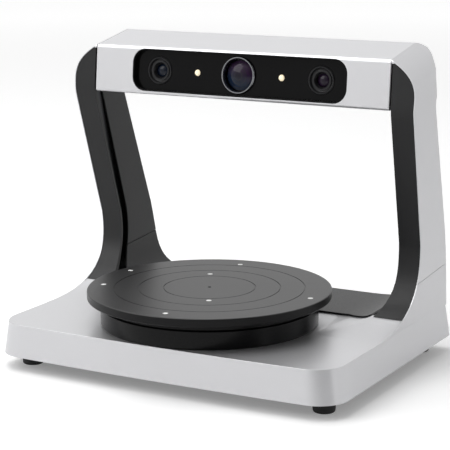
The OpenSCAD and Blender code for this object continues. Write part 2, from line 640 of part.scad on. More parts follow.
// Space of the right front trim: a strip along the front edge, grown by gap
function trim_outline(gap) = concat([for (q = moved(trim_curve, -gap)) if (q.y > band_z + 1) q],
    [inner_top - [gap, 0], [head_half_l + 1.25 - gap, face_top.y - lip - 2.4 + gap]],
    [for (q = back(moved(outer_edge, gap - lip - slide_fit))) if (q.x > head_half_l + 1.5) q]);
module trim_zone(front_d, gap) intersection() {
    across(inner_half_w - 30, half_w + 20) polygon(concat(moved(front_edge, front_d),
        back(moved(front_edge, 0.4 + trim_t + gap))));
    up_slope(trim_outline(gap));
    slab(foot_z + seat - gap, big);
}
module trim() color("#3a3a3c") placed() trim_zone(0.4, 0);
module trim_right() trim();
module trim_left() mirror([1, 0, 0]) trim();
// Liners: a bent sheet along the inner outline, grown by gap
liner_sheet = concat(inner_curve, [inner_top - [0, 0.4]]);
foot_back_y = foot_y + foot_depth;
module liner_half(gap = 0) intersection() {
    through() polygon(concat([[-1, band_z + gap]], moved(liner_sheet, -gap),
        back(moved(liner_sheet, liner_t + gap)), [[-1, base_top - gap]]));
    across(-2, half_w) polygon(concat([[foot_back_y - gap, 0], [foot_back_y - gap, foot_z]],
        [for (q = moved(front_edge, liner_setback - gap)) if (q.y > foot_z + 2) q],
        back(moved(rear_edge, -seat)), [[half_d - seat, 0]]));
    linear_extrude(big) polygon([[-2, band_front_y - gap], [inner_half_w - 38.5, band_front_y - gap],
        [inner_half_w - 9.5, foot_back_y - gap], [big, foot_back_y - gap], [big, big], [-2, big]]);
}
module liner_lower() color("#3a3a3c") placed() difference() {
    intersection() {
        both_sides() liner_half();
        past_seam(-1, seam / 2);
    }
    translate([0, disc_y, 0]) cylinder(r = drum_r + 1.5, h = big);
}
module liner_upper() color("#3a3a3c") placed() intersection() {
    liner_half();
    past_seam(1, seam / 2);
    slab(0, head_bottom_z - seam);
}
module liner_right() liner_upper();
module liner_left() mirror([1, 0, 0]) liner_upper();

// Head
rear_foot = [rear_bend.x, head_bottom_z];
head_section = [head_corner, face_top, top_rear, rear_foot];
// A closed outline with its corners rounded by the given radii
function rounded(p, radii) = [for (i = [0 : len(p) - 1])
    each round_corner(p[(i + len(p) - 1) % len(p)], p[i], p[(i + 1) % len(p)], radii[i])];
head_outer = rounded(head_section, [2.7, 3.2, 6, 4]);
wall_steps = [[1.1, 1], [1, -1.1], [-1.2, -0.8], [-0.8, 1]];
head_inner = rounded([for (i = [0 : 3]) head_section[i] + wall_steps[i] * head_wall], [1, 1.6, 3.8, 2]);
module window_shape(inset) round_rect(2 * (window_half_l - inset), window_h - 2 * inset, window_r - inset);
rear_cover_edge = [for (t = [0.16, 0.8]) rear_foot + (top_rear - rear_foot) * t];
module rear_cover_zone(gap) across(-head_half_l + 6 - gap, head_half_l - 6 + gap) polygon([
    rear_cover_edge[0] + [-head_wall - 0.6, -gap], rear_cover_edge[0] + [6, -gap],
    rear_cover_edge[1] + [9, gap], rear_cover_edge[1] + [-head_wall - 0.6, gap]]);
module head_body() difference() {
    across(-head_half_l, head_half_l) polygon(head_outer);
    across(-head_half_l - 1, head_half_l + 1) polygon(head_inner);
}
module head_shell() color("silver") placed() difference() {
    head_body();
    rear_cover_zone(seat);
    on_face(8) linear_extrude(20) window_shape(0);
}
cover_screws = [for (k = [-3, -1, 1, 3]) k / 3 * (head_half_l - 19)];
// Places on the outside of the rear cover: x across, z out of it
cover_lean = atan2(rear_cover_edge[1].x - rear_cover_edge[0].x, rear_cover_edge[1].y - rear_cover_edge[0].y);
module at_rear_cover() let (m = (rear_cover_edge[0] + rear_cover_edge[1]) / 2)
    translate([0, m.x, m.y]) rotate([-90 - cover_lean, 0, 0]) children();
module head_rear_cover() color("#3a3a3c") placed() difference() {
    intersection() {
        head_body();
        rear_cover_zone(-seat);
    }
    for (x = cover_screws) at_rear_cover() translate([x, 0, -8]) screw_hole(20);
}
module rear_cover_screws() color("gray") placed() for (x = cover_screws) at_rear_cover()
    translate([x, 0, 0]) mirror([0, 0, 1]) screw(8);
module window_bezel() color("#101011") placed() on_face(window_depth + 1.8) difference() {
    linear_extrude(window_depth + 1.6) window_shape(slide_fit);
    translate([0, 0, -1]) linear_extrude(window_depth + 5) window_shape(1.3);
}
module window_panel() color("#0c0c0d") placed() on_face(window_depth + 1.6) difference() {
    linear_extrude(1.6) window_shape(1.3 + seat);
    for (x = [-1, 1]) {
        translate([x * camera_x, 0, -1]) cylinder(r = camera_r + seat, h = 5);
        translate([x * lamp_x, 0, -1]) cylinder(r = lamp_r + seat, h = 5);
    }
    translate([0, 0, -1]) cylinder(r = projector_r + seat, h = 5);
}
module camera_ring() color("#1b1b1d") placed() on_face(window_depth) rotate_extrude() polygon([
    [camera_r, window_depth - 10], [camera_r, 0.5], [camera_r - 0.5, 1], [camera_r - 1.2, 1],
    [camera_r - 2.2, -1], [camera_r - 3, -1.2], [camera_r - 3.2, -0.4], [camera_r - 4.6, -0.4],
    [camera_r - 5.8, -2.2], [camera_r - 6.2, window_depth - 10]]);
module camera_lens() color("#20242c") placed() on_face(window_depth + 5) rotate_extrude() polygon(
    concat([[0, 0], [camera_r - 6.3, 0]], arc([0, -6], 8.6, 52, 90, 6)));
module camera_ring_right() translate([camera_x, 0, 0]) camera_ring();
module camera_ring_left() translate([-camera_x, 0, 0]) camera_ring();
module camera_lens_right() translate([camera_x, 0, 0]) camera_lens();
module camera_lens_left() translate([-camera_x, 0, 0]) camera_lens();
module camera_bodies() color("#2a2a2c") placed() for (x = [-1, 1]) on_face(engine_depth)
    translate([x * camera_x, 0, 0]) linear_extrude(engine_depth - 10.1) round_rect(25, 25, 3);
module projector_ring() color("#b4b7bb") placed() on_face(window_depth) rotate_extrude() polygon([
    [projector_r, window_depth - 10], [projector_r, 1.6], [projector_r - 0.6, 2.4], [projector_r - 1.4, 2.4],
    [projector_r - 2, 1.6], [projector_r - 2.6, window_depth - 10]]);
module projector_lens() color("#2a2638") placed() on_face(10) rotate_extrude() polygon(
    concat([[0, 0], [projector_r - 3.2, 0], [projector_r - 3.2, 2.5]], arc([0, -14], 20.6, 53.2, 90, 8)));
module projector_engine() color("#2a2a2c") placed() on_face(engine_depth)
    linear_extrude(engine_depth - 10.1) round_rect(44, 32, 2);
module lamp() color("#fff2d0") placed() on_face(window_depth + 4) rotate_extrude() polygon(
    concat([[0, 0], [lamp_r, 0], [lamp_r, 2.6]], arc([0, 2.6], lamp_r, 0, 90, 6)));
module lamp_right() translate([lamp_x, 0, 0]) lamp();
module lamp_left() translate([-lamp_x, 0, 0]) lamp();
module lamp_bodies() color("#1f5a3a") placed() for (x = [-1, 1]) on_face(window_depth + 4 + 8)
    translate([x * lamp_x, 0, 0]) linear_extrude(7.9) round_rect(10, 16, 1);
module optics_rail() color("#8d9094") placed() on_face(engine_depth + rail_t + seat) linear_extrude(rail_t)
    square([2 * (spine_x - seat), 20], center = true);
cable_y = spine_y0 + 13;
cable_w = 12;
cable_x = spine_x + spine_t + seat;
module head_cable() color("#4a4a4e") placed() intersection() {
    across(cable_x, cable_x + cable_t) polygon(concat(
        [[cable_y, plate_top + 4], [cable_y, base_top + 24]],
        above(moved(plain_front, trim_t + cable_w), base_top + 26),
        back(above(moved(plain_front, trim_t + 2 * cable_w), base_top + 26)),
        [[cable_y + cable_w, base_top + 24], [cable_y + cable_w, plate_top + 4]]));
    slab(plate_top + 4, spine_top - 4);
}

base_shell();
base_plate();
rubber_feet();
foot_screws();
plate_screws();
drum_body();
drum_screws();
bearing_housing();
bearing_outer_races();
bearing_balls();
bearing_inner_races();
spindle_hub();
spindle_nut();
drive_gear();
hub_screws();
turntable_disc();
marker_dots();
stepper_motor();
motor_screws();
motor_shaft();
motor_pinion();
main_board();
board_standoffs();
board_screws();
heat_sink();
rear_panel();
power_inlet();
data_socket();
power_button();
button_switch();
connector_board();
spine_left();
spine_right();
side_shell_left();
side_shell_right();
trim_left();
trim_right();
liner_lower();
liner_left();
liner_right();
head_shell();
head_rear_cover();
rear_cover_screws();
window_bezel();
window_panel();
camera_ring_left();
camera_ring_right();
camera_lens_left();
camera_lens_right();
camera_bodies();
projector_ring();
projector_lens();
projector_engine();
lamp_left();
lamp_right();
lamp_bodies();
optics_rail();
head_cable();
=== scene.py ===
"""Dresses a desktop turntable scanner: satin silver shells, dark trims and liners, a matt
disc on a glossy drum, a black optics window, and the drive and boards inside the base."""

import json
import math

import bmesh
import bpy
from bpy.props import FloatProperty, FloatVectorProperty, PointerProperty
from mathutils import Matrix, Vector

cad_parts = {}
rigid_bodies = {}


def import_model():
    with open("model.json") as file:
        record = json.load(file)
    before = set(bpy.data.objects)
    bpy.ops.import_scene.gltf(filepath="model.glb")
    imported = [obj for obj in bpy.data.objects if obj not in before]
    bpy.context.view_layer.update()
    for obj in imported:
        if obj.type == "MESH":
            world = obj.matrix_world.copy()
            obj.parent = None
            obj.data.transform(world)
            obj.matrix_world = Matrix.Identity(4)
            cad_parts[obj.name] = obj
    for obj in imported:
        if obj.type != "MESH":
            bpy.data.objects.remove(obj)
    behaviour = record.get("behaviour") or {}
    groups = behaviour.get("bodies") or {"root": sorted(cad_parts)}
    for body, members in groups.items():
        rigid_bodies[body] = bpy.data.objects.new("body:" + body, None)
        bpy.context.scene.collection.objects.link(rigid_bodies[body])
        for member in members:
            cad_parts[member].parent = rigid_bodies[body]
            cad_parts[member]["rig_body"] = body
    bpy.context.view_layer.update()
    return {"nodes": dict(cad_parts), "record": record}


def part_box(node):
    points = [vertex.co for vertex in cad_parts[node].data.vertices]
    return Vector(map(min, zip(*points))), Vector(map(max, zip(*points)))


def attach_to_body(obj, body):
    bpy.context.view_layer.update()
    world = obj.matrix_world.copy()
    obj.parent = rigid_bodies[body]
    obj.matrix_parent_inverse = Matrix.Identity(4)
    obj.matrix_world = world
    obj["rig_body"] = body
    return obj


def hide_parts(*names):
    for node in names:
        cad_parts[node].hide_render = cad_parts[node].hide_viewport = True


bl_info = {
    "name": "Turntable Scanner",
    "version": (1, 0, 0),
    "blender": (4, 5, 0),
    "location": "View3D > Sidebar > Scanner",
    "description": "Dresses the CAD frame of a desktop turntable scanner",
    "category": "Object",
}

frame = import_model()
MM = 0.001

# Surface clean-up
MERGE_DISTANCE = 2e-6
FLAT_ANGLE = math.radians(0.4)
SHARP_ANGLE = math.radians(28)
SMOOTH_ANGLE = math.radians(32)
NORMAL_WEIGHT = 80
BALL_SUBDIVISIONS = 4

# Places that the finishes and the choice of edges refer to
DISC_LOW, DISC_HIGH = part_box("turntable_disc")
DISC_CENTRE = (DISC_LOW + DISC_HIGH) / 2
SHELL_LOW, SHELL_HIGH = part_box("base_shell")
BASE_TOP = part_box("drum_body")[0].z
HEAD_LOW, HEAD_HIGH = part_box("head_shell")
HEAD_CENTRE = (HEAD_LOW + HEAD_HIGH) / 2
LENS_LOW, LENS_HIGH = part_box("camera_lens_right")
CAMERA_X = (LENS_LOW.x + LENS_HIGH.x) / 2
LENS_Z = (LENS_LOW.z + LENS_HIGH.z) / 2

# Rings in the lenses, their colours, the painted shade in each lens's middle, and how far the
# coating's two painted reflection colours, purple above and blue below, run into each other
LENS_RING = 1.7 * MM
LENS_RING_WIDTH = 0.25 * MM
LENS_RING_STRENGTH = 0.6
LENS_REACH = 9 * MM
LENS_BLEND = 5 * MM
LENS_LEAN = 0.35
LENS_BLUE_REFLECTION = (0.006, 0.016, 0.04)
LENS_PURPLE_REFLECTION = (0.03, 0.012, 0.04)
LENS_DEPTH_SHADE = (0.004, 0.004, 0.006)
LENS_RING_TINT = (0.022, 0.022, 0.026)


# ------------------------------------------------------------------ sizes and colours


def colour(name, description, value):
    return FloatVectorProperty(name=name, description=description, subtype="COLOR", size=3,
                               min=0.0, max=1.0, default=value)


def length(name, description, value):
    return FloatProperty(
        name=name, description=description, unit="LENGTH", min=0.0, precision=5, default=value)


class ScannerColours(bpy.types.PropertyGroup):
    """Base colours of the finishes that show"""

    paint: colour("Silver paint", "Satin metallic paint of the shells", (0.6, 0.6, 0.615))
    coating: colour("Dark coating", "Satin grey of the trims and liners", (0.014, 0.014, 0.0147))
    disc: colour("Disc coating", "Matt dark grey of the turntable's top", (0.012, 0.012, 0.0124))
    drum: colour("Drum", "Glossy black of the drum", (0.0028, 0.0028, 0.003))
    dots: colour("Marker dots", "White of the round markers on the disc", (0.86, 0.86, 0.85))
    rubber: colour("Feet", "Black rubber of the feet", (0.012, 0.012, 0.012))
    window: colour("Window", "Black glass of the optics window", (0.0035, 0.0035, 0.0038))
    lamp: colour("Lamps", "Warm white of the two small lamps", (1.0, 0.86, 0.62))


class ScannerEdges(bpy.types.PropertyGroup):
    """Radii of the rounded edges"""

    casing: length("Base edge", "Radius of the base's top edge", 1.1 * MM)
    shell: length("Shell edge", "Radius of the side shells' edges", 0.7 * MM)
    head: length("Head edge", "Radius of the edges round the window's opening", 0.5 * MM)
    head_end: length("Head end", "Radius of the edges at the head's ends", 0.9 * MM)
    trim: length("Trim edge", "Radius of the trims' and liners' edges", 0.45 * MM)
    disc: length("Disc edge", "Radius of the disc's upper edge", 0.45 * MM)
    drum: length("Drum edge", "Radius of the drum's edges", 0.3 * MM)
    small: length("Small edge", "Radius of edges on sockets and buttons", 0.25 * MM)


class ScannerStage(bpy.types.PropertyGroup):
    """Floor, lights and viewpoint"""

    floor: length("Floor size", "Side of the square floor", 14.0)
    focal: FloatProperty(name="Focal length", description="Lens of the camera in millimetres",
                         min=10.0, default=131.92)
    key: FloatProperty(name="Key light", description="Power of the large front left softbox",
                       subtype="POWER", default=19.0)
    side: FloatProperty(name="Side light", description="Power of the softbox on the right",
                        subtype="POWER", default=2.0)
    top: FloatProperty(name="Top light", description="Power of the overhead softbox",
                       subtype="POWER", default=23.0)
    surround: FloatProperty(name="Surround", min=0.0, default=0.38,
                            description="Strength of the pale room on matt surfaces")
    front_wall: FloatProperty(name="Front wall", min=0.0, max=1.0, default=0.12,
                              description="How bright the room is in front of the object")


# ------------------------------------------------------------------ node and mesh helpers


def add_node(tree, kind, inputs=None, **attributes):
    """A node with its sockets set: a socket as value is linked, anything else is written."""
    node = tree.nodes.new(kind)
    for key, value in attributes.items():
        setattr(node, key, value)
    for key, value in (inputs or {}).items():
        if isinstance(value, bpy.types.NodeSocket):
            tree.links.new(value, node.inputs[key])
        else:
            node.inputs[key].default_value = value
    return node


def calc(tree, operation, first, second=0.0, third=0.0):
    node = add_node(tree, "ShaderNodeMath", {0: first, 1: second, 2: third}, operation=operation)
    return node.outputs[0]


def spread(tree, value, low, high, start=0.0, end=1.0):
    """value from start..end, carried over to low..high"""
    node = add_node(tree, "ShaderNodeMapRange", {
        "Value": value, "From Min": start, "From Max": end, "To Min": low, "To Max": high})
    return node.outputs["Result"]


def blend(tree, amount, first, second):
    """A colour between two colours or colour sockets"""
    node = add_node(tree, "ShaderNodeMix", {"Factor": amount}, data_type="RGBA")
    for socket, value in (("A_Color", first), ("B_Color", second)):
        target = next(s for s in node.inputs if s.identifier == socket)
        if isinstance(value, bpy.types.NodeSocket):
            tree.links.new(value, target)
        else:
            target.default_value = (*value[:3], 1.0)
    return next(s for s in node.outputs if s.identifier == "Result_Color")


def noise(tree, place, size, detail=2.0):
    node = add_node(tree, "ShaderNodeTexNoise", {
        "Vector": place, "Scale": 1.0 / size, "Detail": detail})
    return node.outputs["Fac"]


def shade(tint, factor):
    return tuple(min(1.0, channel * factor) for channel in tint[:3])


class Finish:
    """A material with a Principled shader whose patterns read Object coordinates"""

    def __init__(self, name, tint, roughness, metallic=0.0, centre=(0.0, 0.0, 0.0)):
        self.material = bpy.data.materials.new(name)
        self.material.use_nodes = True
        self.tree = self.material.node_tree
        self.shader = self.tree.nodes["Principled BSDF"]
        self.tint = tint
        self.roughness = roughness
        self.shader.inputs["Base Color"].default_value = (*tint[:3], 1.0)
        self.shader.inputs["Roughness"].default_value = roughness
        self.shader.inputs["Metallic"].default_value = metallic
        place = add_node(self.tree, "ShaderNodeTexCoord").outputs["Object"]
        mapping = add_node(self.tree, "ShaderNodeMapping", {
            "Vector": place, "Location": tuple(-c for c in centre)})
        self.place = mapping.outputs["Vector"]
        self.height = None

    def set(self, **values):
        for key, value in values.items():
            self.shader.inputs[key.replace("_", " ")].default_value = value
        return self

    def link(self, socket, value):
        self.tree.links.new(value, self.shader.inputs[socket])
        return self

    def mottle(self, size, amount):
        """Slow changes of the colour over the surface"""
        clouds = noise(self.tree, self.place, size, 3.0)
        mixed = blend(self.tree, clouds, shade(self.tint, 1 - amount), shade(self.tint, 1 + amount))
        return self.link("Base Color", mixed)

    def grain(self, size, depth, play):
        """Fine grain in the surface: bump of that depth, and roughness that plays with it"""
        fine = noise(self.tree, self.place, size, 2.0)
        low, high = max(0.02, self.roughness - play), min(1.0, self.roughness + play)
        self.link("Roughness", spread(self.tree, fine, low, high, 0.3, 0.7))
        self.raise_by(fine, depth)
        return self

    def raise_by(self, height, depth):
        """Bump from a height that runs from 0 to 1"""
        tall = calc(self.tree, "MULTIPLY", height, depth)
        self.height = tall if self.height is None else calc(self.tree, "ADD", self.height, tall)
        return self

    def radius(self):
        """Distance from the finish's centre in plan"""
        parts = add_node(self.tree, "ShaderNodeSeparateXYZ", {"Vector": self.place}).outputs
        flat = add_node(self.tree, "ShaderNodeCombineXYZ", {"X": parts["X"], "Y": parts["Y"]})
        size = add_node(self.tree, "ShaderNodeVectorMath", {0: flat.outputs[0]}, operation="LENGTH")
        return size.outputs["Value"]

    def rings(self, pitch, depth):
        """Marks of the lathe, concentric in plan"""
        line = add_node(self.tree, "ShaderNodeTexNoise", {
            "W": self.radius(), "Scale": 1.0 / pitch, "Detail": 2.0}, noise_dimensions="1D")
        return self.raise_by(line.outputs["Fac"], depth)

    def strokes(self, size, stretch, depth):
        """Brushing along X"""
        long = add_node(self.tree, "ShaderNodeMapping", {"Vector": self.place, "Scale": stretch})
        return self.raise_by(noise(self.tree, long.outputs["Vector"], size), depth)

    def done(self):
        if self.height is not None:
            bump = add_node(self.tree, "ShaderNodeBump", {
                "Height": self.height, "Strength": 1.0, "Distance": 1.0})
            self.link("Normal", bump.outputs["Normal"])
        return self.material


# ------------------------------------------------------------------ finishes


def silver_paint(colours):
    """Satin metallic paint: aluminium flake under a soft clear coat"""
    paint = Finish("silver_paint", colours.paint, 0.36, 0.42)
    paint.mottle(60 * MM, 0.012).grain(0.45 * MM, 0.004 * MM, 0.05)
    flakes = add_node(paint.tree, "ShaderNodeTexVoronoi", {
        "Vector": paint.place, "Scale": 1 / (0.5 * MM)})
    glitter = spread(paint.tree, flakes.outputs["Distance"], 0.5, 0.8, 0.1, 0.7)
    paint.link("Metallic", glitter)
    return paint.set(Coat_Weight=0.12, Coat_Roughness=0.3).done()


def dark_coating(colours):
    """Satin powder coat with a fine orange peel"""
    coat = Finish("dark_coating", colours.coating, 0.42)
    coat.mottle(30 * MM, 0.05).grain(0.6 * MM, 0.009 * MM, 0.06)
    return coat.set(Specular_IOR_Level=0.28).done()


def disc_coating(colours):
    """Matt coat over a turned plate: the lathe's rings still show faintly"""
    coat = Finish("disc_coating", colours.disc, 0.4, 0.0, DISC_CENTRE)
    coat.mottle(40 * MM, 0.06).grain(0.5 * MM, 0.006 * MM, 0.05).rings(1.6 * MM, 0.005 * MM)
    facing = add_node(coat.tree, "ShaderNodeTexCoord").outputs["Normal"]
    upward = add_node(coat.tree, "ShaderNodeSeparateXYZ", {"Vector": facing}).outputs["Z"]
    # Painted shade: side-facing faces are made metallic, and metal with a dark base colour reflects
    # less, so the rim renders darker than the top of the same coating
    coat.link("Metallic", spread(coat.tree, upward, 0.85, 0.0, 0.3, 0.9))
    return coat.done()


def drum_black(colours):
    """Black gloss"""
    black = Finish("drum_black", colours.drum, 0.24, 0.0, DISC_CENTRE)
    black.mottle(25 * MM, 0.1).grain(0.5 * MM, 0.003 * MM, 0.06)
    return black.set(Specular_IOR_Level=0.14).done()


def marker_white(colours):
    white = Finish("marker_white", colours.dots, 0.55)
    return white.mottle(2 * MM, 0.03).grain(0.2 * MM, 0.004 * MM, 0.08).done()


def foot_rubber(colours):
    rubber = Finish("foot_rubber", colours.rubber, 0.7)
    return rubber.mottle(6 * MM, 0.15).grain(0.35 * MM, 0.02 * MM, 0.1).done()


def window_black(colours):
    """Black acrylic with a very faint polish"""
    black = Finish("window_black", colours.window, 0.16, 0.0)
    black.mottle(50 * MM, 0.15).grain(3.0 * MM, 0.002 * MM, 0.04)
    return black.set(Specular_IOR_Level=0.1).done()


def lens_mount(colours):
    """Black anodised rings"""
    mount = Finish("lens_mount", (0.009, 0.009, 0.01), 0.3)
    mount.mottle(5 * MM, 0.1).grain(0.2 * MM, 0.003 * MM, 0.06)
    return mount.set(Specular_IOR_Level=0.3).done()


def lens_glass(colours):
    """Glass over faint inner rings, with a painted purple reflection of the coating above, a
    painted blue one below, and painted shade towards each lens's middle
    """
    glass = Finish("lens_glass", (0.006, 0.006, 0.008), 0.08)
    tree = glass.tree
    parts = add_node(tree, "ShaderNodeSeparateXYZ", {"Vector": glass.place}).outputs
    # One pattern for the projector and both cameras: rings about the nearest lens's middle
    side = calc(tree, "ABSOLUTE", parts["X"])
    upward = calc(tree, "SUBTRACT", parts["Z"], LENS_Z)
    outward = calc(tree, "ABSOLUTE", calc(tree, "SUBTRACT", side, CAMERA_X))
    nearer = calc(tree, "MINIMUM", side, outward)
    away = add_node(tree, "ShaderNodeCombineXYZ", {"X": nearer, "Y": upward}).outputs[0]
    size = add_node(tree, "ShaderNodeVectorMath", {0: away}, operation="LENGTH").outputs["Value"]
    wave = calc(tree, "PINGPONG", size, LENS_RING)
    ring = calc(tree, "COMPARE", wave, 0.0, LENS_RING_WIDTH)
    # Painted reflection: the coating's purple and blue glints are blended in by height, and painted
    # shade darkens each lens towards its middle
    lean = calc(tree, "ADD", upward, calc(tree, "MULTIPLY", parts["X"], LENS_LEAN))
    height = spread(tree, lean, 0.0, 1.0, -LENS_BLEND, LENS_BLEND)
    coating = blend(tree, height, LENS_BLUE_REFLECTION, LENS_PURPLE_REFLECTION)
    centred = spread(tree, size, 0.2, 1.0, 0.0, LENS_REACH)
    reflection_and_shade = blend(tree, centred, LENS_DEPTH_SHADE, coating)
    marked = calc(tree, "MULTIPLY", ring, LENS_RING_STRENGTH)
    glass.link("Base Color", blend(tree, marked, reflection_and_shade, LENS_RING_TINT))
    return glass.set(Specular_IOR_Level=0.16, Coat_Weight=0.1, Coat_Roughness=0.03).done()


def bright_ring(colours):
    ring = Finish("bright_ring", (0.2, 0.205, 0.215), 0.22, 1.0)
    return ring.mottle(4 * MM, 0.05).grain(0.15 * MM, 0.002 * MM, 0.06).done()


def lamp_lens(colours):
    """Warm diffusing dome of a small lamp"""
    lens = Finish("lamp_lens", colours.lamp, 0.2)
    lens.mottle(1.5 * MM, 0.08).grain(0.6 * MM, 0.002 * MM, 0.05)
    return lens.set(Emission_Color=(*colours.lamp[:], 1.0), Emission_Strength=0.55).done()


def panel_plastic(colours):
    plastic = Finish("panel_plastic", (0.02, 0.02, 0.021), 0.5)
    return plastic.mottle(8 * MM, 0.08).grain(0.4 * MM, 0.012 * MM, 0.08).done()


def socket_shell(colours):
    shell = Finish("socket_shell", (0.56, 0.57, 0.58), 0.28, 1.0)
    return shell.mottle(3 * MM, 0.06).strokes(0.4 * MM, (0.15, 1, 1), 0.003 * MM).done()


def fastener_steel(colours):
    steel = Finish("fastener_steel", (0.42, 0.42, 0.43), 0.34, 1.0)
    return steel.mottle(2 * MM, 0.1).grain(0.25 * MM, 0.004 * MM, 0.08).done()


def bearing_steel(colours):
    steel = Finish("bearing_steel", (0.62, 0.63, 0.64), 0.18, 1.0, DISC_CENTRE)
    return steel.mottle(4 * MM, 0.04).rings(0.3 * MM, 0.002 * MM).done()


def machined_aluminium(colours):
    metal = Finish("machined_aluminium", (0.68, 0.69, 0.7), 0.32, 1.0, DISC_CENTRE)
    metal.mottle(12 * MM, 0.05).grain(0.3 * MM, 0.004 * MM, 0.07)
    return metal.rings(0.5 * MM, 0.004 * MM).done()


def gear_acetal(colours):
    acetal = Finish("gear_acetal", (0.72, 0.7, 0.62), 0.42)
    return acetal.mottle(15 * MM, 0.04).grain(0.5 * MM, 0.005 * MM, 0.06).done()


def brass(colours):
    metal = Finish("brass", (0.72, 0.5, 0.2), 0.28, 1.0)
    return metal.mottle(4 * MM, 0.08).grain(0.2 * MM, 0.003 * MM, 0.06).done()


def motor_case(colours):
    case = Finish("motor_case", (0.03, 0.03, 0.032), 0.45, 0.4)
    return case.mottle(10 * MM, 0.1).grain(0.4 * MM, 0.01 * MM, 0.08).done()


def board_green(colours):
    """Solder mask with the faint relief of the tracks under it"""
    board = Finish("board_green", (0.012, 0.085, 0.035), 0.33)
    board.mottle(9 * MM, 0.25).grain(0.5 * MM, 0.003 * MM, 0.06)
    tracks = add_node(board.tree, "ShaderNodeTexBrick", {
        "Vector": board.place, "Scale": 1.0 / (9 * MM), "Color1": (1, 1, 1, 1),
        "Color2": (1, 1, 1, 1), "Mortar": (0, 0, 0, 1), "Mortar Size": 0.03})
    return board.raise_by(tracks.outputs["Color"], 0.03 * MM).done()


def spine_steel(colours):
    steel = Finish("spine_steel", (0.045, 0.045, 0.048), 0.42, 0.7)
    return steel.mottle(20 * MM, 0.1).grain(0.6 * MM, 0.008 * MM, 0.08).done()


def module_black(colours):
    module = Finish("module_black", (0.022, 0.022, 0.024), 0.48)
    return module.mottle(10 * MM, 0.1).grain(0.4 * MM, 0.01 * MM, 0.08).done()


def cable_jacket(colours):
    jacket = Finish("cable_jacket", (0.07, 0.07, 0.075), 0.55)
    return jacket.mottle(8 * MM, 0.08).strokes(1.2 * MM, (1, 1, 0.02), 0.05 * MM).done()


FINISHES = (
    silver_paint, dark_coating, disc_coating, drum_black, marker_white, foot_rubber,
    window_black, lens_mount, lens_glass, bright_ring, lamp_lens, panel_plastic, socket_shell,
    fastener_steel, bearing_steel, machined_aluminium, gear_acetal, brass, motor_case,
    board_green, spine_steel, module_black, cable_jacket)


def finish_for(slot):
    """The material of a slot, made when it is first asked for"""
    made = bpy.data.materials.get(slot)
    if made and made.get("scanner_finish"):
        return made
    if made:
        made.name = slot + "_frame"
    maker = {f.__name__: f for f in FINISHES}[slot]
    made = maker(bpy.context.scene.scanner_colours)
    made["scanner_finish"] = True
    return made


# ------------------------------------------------------------------ making pieces


def record_slots():
    """The material slot that the record gives each node"""
    return {row["node"]: row["material_slot"] for row in frame["record"]["subparts"]}


def body_of(node):
    return frame["nodes"][node]["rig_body"]


def merged(node):
    """The node's surface with its doubles merged and its flat faces made whole"""
    bm = bmesh.new()
    bm.from_mesh(frame["nodes"][node].data)
    bmesh.ops.remove_doubles(bm, verts=bm.verts, dist=MERGE_DISTANCE)
    bmesh.ops.dissolve_limit(bm, angle_limit=FLAT_ANGLE, verts=bm.verts, edges=bm.edges)
    return bm


def round_edges(bm, radius, wanted=None, segments=3):
    """Rounds the sharp edges for which wanted is true"""
    edges = [e for e in bm.edges if e.is_manifold and e.calc_face_angle(0.0) > SHARP_ANGLE
             and (wanted is None or wanted(e))]
    if edges:
        bmesh.ops.bevel(bm, geom=edges, offset=radius, offset_type="OFFSET", segments=segments,
                        profile=0.5, affect="EDGES", clamp_overlap=True)


def new_object(name, mesh):
    made = bpy.data.objects.new(name, mesh)
    bpy.context.scene.collection.objects.link(made)
    return made


def settle(piece):
    """Turns the piece and its modifiers into a plain mesh"""
    graph = bpy.context.evaluated_depsgraph_get()
    mesh = bpy.data.meshes.new_from_object(piece.evaluated_get(graph))
    piece.modifiers.clear()
    piece.data = mesh
    return piece


def piece_from(bm, name):
    """A smooth-shaded object from a bmesh, its normals weighted by face area"""
    mesh = bpy.data.meshes.new(name)
    for face in bm.faces:
        face.smooth = True
    bm.to_mesh(mesh)
    bm.free()
    mesh.set_sharp_from_angle(angle=SMOOTH_ANGLE)
    piece = new_object(name, mesh)
    weighted = piece.modifiers.new("even_normals", "WEIGHTED_NORMAL")
    weighted.keep_sharp = True
    weighted.weight = NORMAL_WEIGHT
    return settle(piece)


def attach(piece, slot, body, *nodes):
    """Gives the piece its finish, its body and the CAD nodes that it stands for"""
    piece.data.materials.clear()
    piece.data.materials.append(finish_for(slot))
    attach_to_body(piece, body)
    if nodes:
        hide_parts(*nodes)
    return piece


def dress(node, *roundings, name=None):
    """A finished copy of a CAD node: roundings are (radius, which edges) pairs"""
    bm = merged(node)
    for radius, wanted in roundings:
        round_edges(bm, radius, wanted)
    piece = piece_from(bm, name or node + "_finished")
    return attach(piece, record_slots()[node], body_of(node), node)


def coat(*nodes):
    """Gives CAD nodes whose shape stays their finish"""
    for node in nodes:
        solid = frame["nodes"][node]
        solid.data.materials.clear()
        solid.data.materials.append(finish_for(record_slots()[node]))


def islands(node):
    """Lowest and highest corner of each separate solid of a CAD node"""
    bm = merged(node)
    left = set(bm.verts)
    found = []
    while left:
        group = [left.pop()]
        for vert in group:
            fresh = [e.other_vert(vert) for e in vert.link_edges if e.other_vert(vert) in left]
            left.difference_update(fresh)
            group.extend(fresh)
        found.append((Vector(min(v.co[i] for v in group) for i in range(3)),
                      Vector(max(v.co[i] for v in group) for i in range(3))))
    bm.free()
    return sorted(found, key=lambda corners: tuple(round(c, 5) for c in corners[0]))


